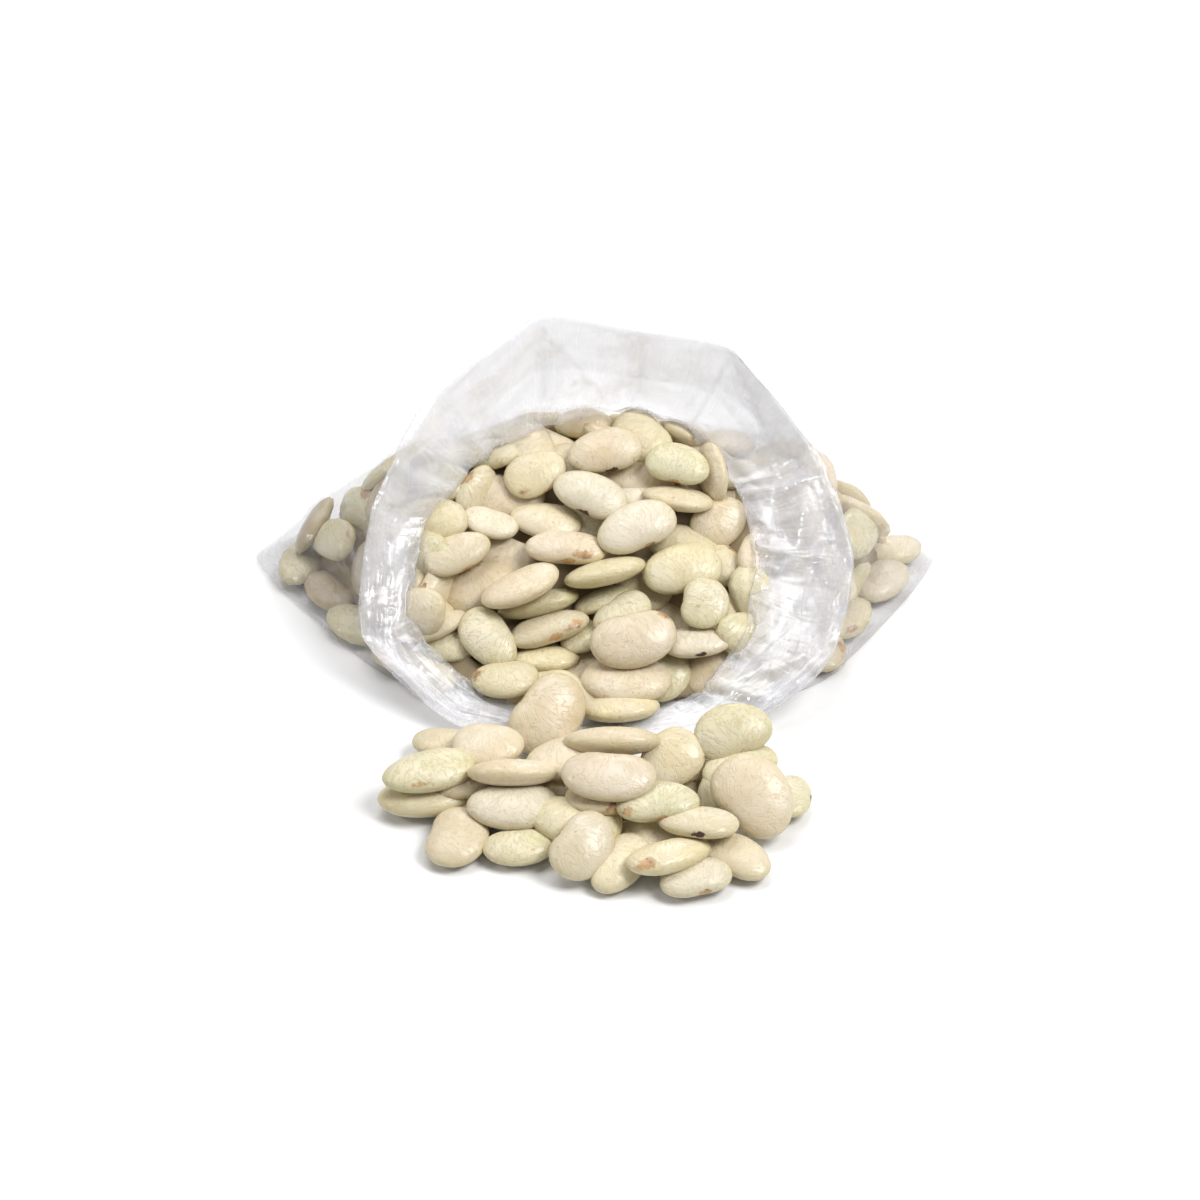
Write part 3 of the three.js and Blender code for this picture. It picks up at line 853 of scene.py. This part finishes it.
def heap_core():
    degrees = np.arange(72) * 5
    sides = [side_at(degrees, share) for share in (0.04, 0.2, 0.4, 0.6, 0.8, 0.92)]
    rings = [CORE_MIDDLE + (side - CORE_MIDDLE) * CORE_SHARE for side in sides]
    rings[0][:, 2] = CORE_FLOOR_Z
    for ring in rings[3:]:
        ring[:, 2] = np.minimum(ring[:, 2], slope_height(ring[:, 1]) + 4)
    edge = ring_at(NECK, degrees) * CORE_SHARE
    edge[:, 2] = slope_height(edge[:, 1]) - CORE_DEPTH
    middle = np.array((-4, -14, slope_height(-14) - CORE_DEPTH))
    rings += [edge * (1 - s) + middle * s for s in (0, 0.35, 0.7)]
    for ring in rings[3:]:
        ring[:, 2] = np.maximum(ring[:, 2], CORE_LOWEST_Z)
    return core("heap_core", rings, (0, 0, CORE_FLOOR_Z), middle)


def spill_core():
    turn = np.radians(np.arange(48) * 7.5)
    rings = []
    for height in (0.04, 0.35, 0.7, 0.93):
        reach = math.sqrt(1 - height**2)
        x = SPILL_HALF_X * reach * np.sin(turn)
        y = SPILL_Y - SPILL_HALF_Y * reach * np.cos(turn)
        rings.append(np.stack([x, y, np.full_like(x, SPILL_TOP_Z * height)], -1))
    return core("spill_core", rings, (0, SPILL_Y, 0.3), (0, SPILL_Y, SPILL_TOP_Z))


core_in_bag, core_in_front = heap_core(), spill_core()
print("cores", len(core_in_bag.data.polygons), len(core_in_front.data.polygons), "faces")

# %% [markdown]
# The film is one thin sheet of clear polythene, from the underside up over the beans, in at the
# neck, out to the fold of the mouth, and down again as a loose cuff. It is laid out as a fine grid.
# Crumpled film doesn't ripple like cloth: it breaks into flat facets with sharp straight ridges.
# So each fold is a tent: highest on a straight line, and falling off straight to both sides.
# Hundreds of them, long ones listed one by one and short ones by a seeded rule, add up to crumpled
# film.

# %% The film's smooth form as a grid
AROUND = 400
UNDER_SHARES, UNDERSIDE_Z = (0.25, 0.5, 0.75, 0.93), 0.15
CUFF, CUFF_AT_LIP, CUFF_LOWEST_Z, RIM_RADIUS = 17, 5, 0.25, 1.1
COLLAR_SAG = 2.0
FOLD_STANDS = 2.6  # how far the rolled fold stands above its line at the back of the mouth
SIDE_ROWS, COLLAR_ROWS, FOLD_ROWS, CUFF_ROWS = 40, 38, 6, 22


def film_grid():
    """Rows of points from near the middle of the underside to the free edge."""
    degrees = np.arange(AROUND) * 360 / AROUND
    foot, neck, rim = (ring_at(ring, degrees) for ring in (FOOT, NECK, RIM))
    rim[:, 2] -= FOLD_STANDS * np.clip(rim[:, 2] / 60, 0, 1) ** 2
    rows = []
    for share in UNDER_SHARES:
        under = foot * share
        under[:, 2] = UNDERSIDE_Z
        rows.append(under)
    rows += [side_at(degrees, share) for share in np.linspace(0, 1, SIDE_ROWS)]
    for share in np.linspace(0, 1, COLLAR_ROWS + 1)[1:]:
        row = neck + (rim - neck) * share
        row[:, 2] -= COLLAR_SAG * math.sin(math.pi * share) * np.clip(rim[:, 2] / 30, 0, 1)
        rows.append(row)
    outward = np.stack([rim[:, 0], rim[:, 1] + 14, np.zeros(AROUND)], -1)
    outward /= np.linalg.norm(outward, axis=1)[:, None]
    down = neck - rim
    down /= np.linalg.norm(down, axis=1)[:, None]
    rise = np.clip((rim[:, 2] - 4) / 26, 0, 1)[:, None]
    rise = rise * rise * (3 - 2 * rise)
    for turn in np.linspace(0, math.pi, FOLD_ROWS + 2)[1:-1]:
        roll = outward * (1 - math.cos(turn)) - down * math.sin(turn)
        rows.append(rim + roll * RIM_RADIUS)
    for share in np.linspace(0, 1, CUFF_ROWS):
        hang = down * share * (CUFF_AT_LIP + (CUFF - CUFF_AT_LIP) * rise)
        clear = outward * (2 * RIM_RADIUS + 2.4 * share * rise)
        row = rim + hang + clear
        row[:, 2] = np.maximum(row[:, 2], CUFF_LOWEST_Z)
        rows.append(row)
    return np.array(rows)


smooth = film_grid()
foot_row = len(UNDER_SHARES)
neck_row = foot_row + SIDE_ROWS - 1
rim_row = neck_row + COLLAR_ROWS
print("film grid", smooth.shape[:2], "neck at row", neck_row, "rim at row", rim_row)


# %% [markdown]
# A fold is easier to place on a flat sheet than on a bag. So every point of the grid also has a
# place on the sheet: how far round, and how far up from the middle of the underside. A fold is a
# height on that sheet, which is pushed into the bag later along its outward directions.

# %% The sheet laid flat, and one fold on it
BAG_ROUND = 406
ENDS_SHARE = 0.3  # of a fold's length, over which each end runs out
WHITE_HALF = 1.1  # half the width of the line that a fold whitens, partly the film's own crease white and partly painted highlight
ups = np.concatenate([[0], np.cumsum(np.linalg.norm(np.diff(smooth, axis=0), axis=2).mean(1))])
up = np.broadcast_to(ups[:, None], smooth.shape[:2])
across = np.broadcast_to(np.arange(AROUND) * BAG_ROUND / AROUND, smooth.shape[:2])
neck_up, rim_up, end_up = ups[neck_row], ups[rim_row], ups[-1]
folds = np.zeros(smooth.shape[:2])
crease_white_and_glint = np.zeros(smooth.shape[:2])


def add_fold(start, heading, length, width, height):
    """A straight tent: full height on its line, none beyond its width or past its ends."""
    global folds, crease_white_and_glint
    dx = (across - start[0] + BAG_ROUND / 2) % BAG_ROUND - BAG_ROUND / 2
    dy = up - start[1]
    along = dx * math.sin(heading) + dy * math.cos(heading)
    aside = np.abs(dx * math.cos(heading) - dy * math.sin(heading))
    ends = np.clip((length / 2 - np.abs(along)) / (ENDS_SHARE * length), 0, 1)
    folds = folds + height * np.clip(1 - aside / width, 0, 1) * ends
    # the whitened line along a fold is partly the crease's own white and partly painted highlight
    # for its glint
    crease_white_and_glint = crease_white_and_glint + abs(height) * np.clip(1 - aside / WHITE_HALF, 0, 1) * ends


print("the sheet is", round(float(end_up)), "mm long from the middle to its free edge")


# %% [markdown]
# The eye knows a real bag by its few long creases. They run down from the fold of the mouth to the
# neck, where the film is gathered. Each is given by an angle round the bag and a level at both
# ends, where 0 is the neck, 1 the fold of the mouth and 2 the free edge, and by its width and
# height in millimetres.

# %% The long creases, as the real bag has them
CREASES = [
    (152, 1.0, 98, 0.1, 14, 2.2), (210, 1.0, 182, 0.15, 12, -1.6), (150, 1.0, 150, 0.0, 10, -1.4),
    (240, 1.0, 225, 0.1, 10, 1.5), (178, 1.0, 170, 0.3, 8, 1.0), (120, 1.0, 128, 0.2, 9, 1.4),
    (118, 0.9, 84, 0.2, 8, -1.5), (92, 1.0, 70, 0.2, 8, 1.6), (104, 0.3, 60, 0.9, 7, 1.3),
    (82, 1.3, 34, 1.5, 6, 1.4), (62, 1.0, 40, 0.3, 7, -1.2), (268, 1.0, 262, 0.1, 8, 1.5),
    (286, 0.9, 276, 0.1, 6, -1.2), (300, 1.0, 318, 0.4, 7, 1.2), (330, 1.0, 296, 0.5, 6, 1.0),
    (255, 0.9, 236, 0.5, 6, 1.1), (196, 0.8, 224, 0.4, 7, 0.9), (135, 0.9, 165, 0.5, 8, 0.9),
]
LEVELS = (neck_up, rim_up, end_up)


def chart_point(degrees, level):
    return np.array((degrees * BAG_ROUND / 360, np.interp(level, (0, 1, 2), LEVELS)))


for from_angle, from_level, to_angle, to_level, width, height in CREASES:
    start, end = chart_point(from_angle, from_level), chart_point(to_angle, to_level)
    run = end - start
    add_fold((start + end) / 2, math.atan2(*run), 1.25 * np.linalg.norm(run), width, height)
print(len(CREASES), "creases, folds to", round(np.abs(folds).max(), 2), "mm")

# %% [markdown]
# Between them the film is full of short folds, which no one would place by hand. A seeded rule
# draws them in sets: gathers at the neck, broad ones on the collar, crumples, folds that run round
# the mouth, and those on the sides. The back of the bag is calmer.

# %% The short ones, by a seeded rule
# How many, lowest and highest middle, heading and its spread, length, width and steepness.
# A heading of 0 runs up the film, one of a quarter turn runs round the mouth.
FOLD_SETS = [
    (80, neck_up - 10, neck_up + 14, 0, 0.25, (20, 50), (2.5, 6), 0.26),
    (60, neck_up, end_up, 0, 0.8, (20, 54), (5, 12), 0.13),
    (120, neck_up, end_up, 0, 1.1, (7, 24), (2, 5), 0.2),
    (110, neck_up + 4, end_up, math.pi / 2, 0.22, (18, 60), (1.6, 4), 0.24),
    (150, 66, neck_up, 0, 0.6, (14, 44), (1.6, 5), 0.26),
]
BEHIND = 185  # where the back of the bag is, in degrees round it
fold_chance = np.random.default_rng(21)
for count, low, high, course, spread, lengths, widths, steepness in FOLD_SETS:
    for _ in range(count):
        start = (fold_chance.uniform(0, BAG_ROUND), fold_chance.uniform(low, high))
        heading = fold_chance.normal(course, spread)
        length, width = fold_chance.uniform(*lengths), fold_chance.uniform(*widths)
        behind = math.cos(math.radians(start[0] * 360 / BAG_ROUND - BEHIND))
        calm = 1 - 0.5 * max(behind, 0) ** 2
        height = width * steepness * fold_chance.uniform(-1, 1) * calm
        add_fold(start, heading, length, width, height)
print("folds from", round(folds.min(), 2), "to", round(folds.max(), 2), "mm")


# %% [markdown]
# Film that lies on beans takes their shape. Each point of the sheet is moved outwards until it is
# clear of every bean near it, and the folds are added. Where beans press on the film, a fold can
# only stand out. The sheet gets its thickness from a Solidify modifier.

# %% The folds pushed into the film
MOST_PRESSED = 5
SWOLLEN, CLEAR_BY = 1.06, 0.4  # the beans as the film feels them, so that it lies just off them
HIGHEST_ON_BEANS = 1.6  # of a fold
FLAT_BELOW_Z = 8  # towards the floor the folds fade out
FILM_THICKNESS = 0.12


def pressed_out(sheet, outward, beans):
    """How far each point must move outwards to lie on the beans that press on it."""
    lift = np.zeros(len(sheet))
    for b in beans:
        half = np.array(half_sizes(b)) * SWOLLEN + CLEAR_BY
        near = np.flatnonzero(((sheet - b.place) ** 2).sum(1) < half[0] ** 2)
        if len(near):
            lift[near] = np.maximum(lift[near], way_out(sheet[near], outward[near], b, half))
    return np.minimum(lift, MOST_PRESSED)


def crumpled_film():
    rows = np.arange(len(smooth))[:, None]
    on_beans = np.clip((neck_row - rows) / 6, 0, 1)
    lift = folds * (1 - on_beans) + np.clip(np.abs(folds), 0, HIGHEST_ON_BEANS) * on_beans
    lift = lift * np.clip(smooth[..., 2] / FLAT_BELOW_Z, 0, 1)
    outward = grid_normals(smooth)
    sides = slice(foot_row, rim_row)
    sheet, away = smooth[sides].reshape(-1, 3), outward[sides].reshape(-1, 3)
    pressed = pressed_out(sheet, away, mouth_beans + side_beans + filler_beans)
    lift[sides] += pressed.reshape(-1, AROUND)
    crumpled = smooth + outward * lift[..., None]
    crumpled[..., 2] = np.maximum(crumpled[..., 2], UNDERSIDE_Z)
    return crumpled


def film_fields(mesh):
    """What the finish reads: a place on the flat sheet, how loose it is, and how creased."""
    angle = across * 2 * math.pi / BAG_ROUND
    radius = BAG_ROUND / (2 * math.pi)
    sheet = np.stack([radius * np.sin(angle), -radius * np.cos(angle), up], -1) * MM
    rows = np.arange(len(smooth))
    loose = np.clip((rows - neck_row + 3) / 18, 0, 1) - 0.8 * np.clip((rows - rim_row) / 6, 0, 1)
    numbers = {
        "loose": loose[:, None] + 0 * up,
        # the crease lines, whose white is partly painted highlight
        "crease": np.clip(crease_white_and_glint / 1.6, 0, 1),
        "haze": np.clip(0.5 + folds * 0.35, 0, 1),
    }
    for name, values in numbers.items():
        store(mesh, name, np.append(values, 0))  # the last point is the middle of the underside
    store(mesh, "sheet", np.vstack([sheet.reshape(-1, 3), (0, 0, 0)]))


film_mesh = ring_mesh("film", crumpled_film() * MM, first=(0, 0, UNDERSIDE_Z * MM))
film_fields(film_mesh)
film = add_object("film", film_mesh)
thick = film.modifiers.new("thickness", "SOLIDIFY")
thick.thickness = FILM_THICKNESS * MM
thick.offset = 0
print("film", len(film_mesh.polygons), "faces")

# %% [markdown]
# Clear film shows as a thin grey veil with bright streaks. Most light goes straight through. A
# little comes back from its gloss, much more where it is seen edge on, and its finest wrinkles
# break the lamps into glints. A Mix Shader does both: its factor is how much the film sends back.
# Light passes four or more layers of film before it gets out of the bag, and each runs its finish
# again. So the finish has few textures, the folds are real, and the inner face is a plain veil.


# %% The clear film
def clear_film():
    clear = Finish("clear_film")
    sheet = clear.attribute("sheet", "Vector")
    loose, crease, haze = (clear.attribute(name) for name in ("loose", "crease", "haze"))
    wobble = clear.noise(sheet, 60, detail=1)
    bent = clear.node("ShaderNodeVectorMath", {"operation": "ADD"}, {0: sheet, 1: wobble * 0.006})

    def lines(stretch, scale):
        """0 on fine wandering lines that run one way, and more beside them."""
        where = clear.node("ShaderNodeMapping", values={"Vector": bent, "Scale": stretch})
        return (clear.noise(where, scale, detail=2, rough=0.6) - 0.5).math("ABSOLUTE")

    pleats, hoops = lines((1, 1, 0.25), 170), lines((0.3, 0.3, 1.5), 150)
    back = clear.split(sheet)[1] / 0.065  # 1 behind the bag
    calm = 1 - back.between(0.1, 0.9) * 0.6
    sharp = (1 - pleats.between(0, 0.022)) * 0.7 + (1 - hoops.between(0, 0.022)) * calm
    relief = (pleats * -1.8 - hoops * 1.5) * (loose * 0.6 + 0.4) * calm
    normal = clear.bump(relief, 0.5, 0.001)
    facing = clear.node("ShaderNodeLayerWeight", values={"Blend": 0.4, "Normal": normal}, output=1)
    # whiter, more opaque film on creases and fine lines: partly the film's own stressed white,
    # partly painted highlight for the glints along them
    white_and_glint_lines = (crease * 0.7 + sharp * 0.4) * (loose * 0.4 + 0.6)
    share = 0.02 + facing * (loose * 0.30 + 0.17) + (haze * 0.20 + 0.40) * loose
    share = share + white_and_glint_lines * 0.45 * (1.2 - share)
    values = {
        "Base Color": clear.blend(white_and_glint_lines, (0.93, 0.93, 0.95, 1), (0.98, 0.98, 0.98, 1)),
        "Metallic": 0.11,
        "Roughness": haze * loose * 0.16 + 0.10,
        "Specular IOR Level": 0.6,
        "Normal": normal,
    }
    return veiled(clear, share, values)


def veiled(thin, share, values):
    """A finish that lets light through but for the given share."""
    veil = thin.node("ShaderNodeBsdfTransparent", values={"Color": (0.985, 0.984, 0.987, 1)})
    mixed = {0: share, 1: veil, 2: thin.principled(values)}
    return thin.finish(thin.node("ShaderNodeMixShader", values=mixed))


def film_inside():
    """A faint veil for the film's inner face."""
    values = {"Base Color": (0.95, 0.95, 0.96, 1), "Roughness": 0.15}
    return veiled(Finish("film_inside"), 0.03, values)


for material in (clear_film(), film_inside()):
    film_mesh.materials.append(material)
thick.material_offset = 1  # to the second material, on the inner face
light_paths = bpy.context.scene.cycles
light_paths.transparent_max_bounces = 32
light_paths.max_bounces = 8
light_paths.diffuse_bounces = light_paths.glossy_bounces = 3
print("film finishes", [material.name for material in film_mesh.materials])

# %% [markdown]
# The set: a plain pale floor, a soft key lamp from the right, a larger one overhead, small ones at
# the left and behind for the streaks on the film, and a camera where the photograph was taken,
# 38 degrees above the floor.

# %% Floor, lamps and camera
CAMERA_DISTANCE = 1.1
CAMERA_AIM = Vector((0.0006, 0, 0))
VIEW_WIDTH = 0.3509  # of the floor at the aim point, across the whole picture
SENSOR_MM = 36
FLOOR_HALF = 3.0


def add_floor():
    mesh = bpy.data.meshes.new("floor")
    corners = ((-1, -1), (1, -1), (1, 1), (-1, 1))
    mesh.from_pydata([(x * FLOOR_HALF, y * FLOOR_HALF, 0) for x, y in corners], [], [(0, 1, 2, 3)])
    white, paler = (0.90, 0.90, 0.90, 1), (0.93, 0.93, 0.93, 1)
    mesh.materials.append(plain_finish("floor_white", 4, 1, white, paler, 0.7))
    return add_object("floor", mesh)


def add_lamp(name, place, size, power):
    light = bpy.data.lights.new(name, "AREA")
    light.shape, light.size, light.energy = "SQUARE", size, power
    lamp = add_object(name, light)
    lamp.location = place
    lamp.rotation_euler = (-Vector(place)).to_track_quat("-Z", "Y").to_euler()


def add_camera():
    lens = bpy.data.cameras.new("camera")
    lens.sensor_width = SENSOR_MM
    lens.lens = SENSOR_MM * CAMERA_DISTANCE / VIEW_WIDTH
    camera = add_object("camera", lens)
    camera.location = CAMERA_AIM - AWAY * CAMERA_DISTANCE
    camera.rotation_euler = (-AWAY).to_track_quat("Z", "Y").to_euler()
    bpy.context.scene.camera = camera


floor = add_floor()
add_lamp("key_right", (0.75, -0.25, 1.15), 0.65, 15)
add_lamp("overhead", (-0.25, 0.35, 1.3), 1.0, 9)
add_lamp("left_strip", (-1.0, -0.2, 0.7), 0.22, 2.4)
add_lamp("back", (0.15, 1.1, 0.75), 0.4, 2.5)
add_camera()
world = bpy.data.worlds.new("surround")
world.use_nodes = True
world.node_tree.nodes["Background"].inputs["Color"].default_value = (0.16, 0.16, 0.168, 1)
bpy.context.scene.world = world
bpy.context.scene.view_settings.view_transform = "Standard"
print("camera", [round(v, 3) for v in bpy.context.scene.camera.location])

# %% [markdown]
# Last, each piece is tied to the body that it moves with, and the plain solids that the pieces
# replace are hidden.

# %% The ties to the frame
bean_pieces = (beans_shown, beans_filler, beans_side, beans_front, core_in_bag, core_in_front)
for piece in (film, *bean_pieces):
    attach(piece, "root")
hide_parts("bag_film")
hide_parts("beans_in_bag")
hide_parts("spilled_beans")
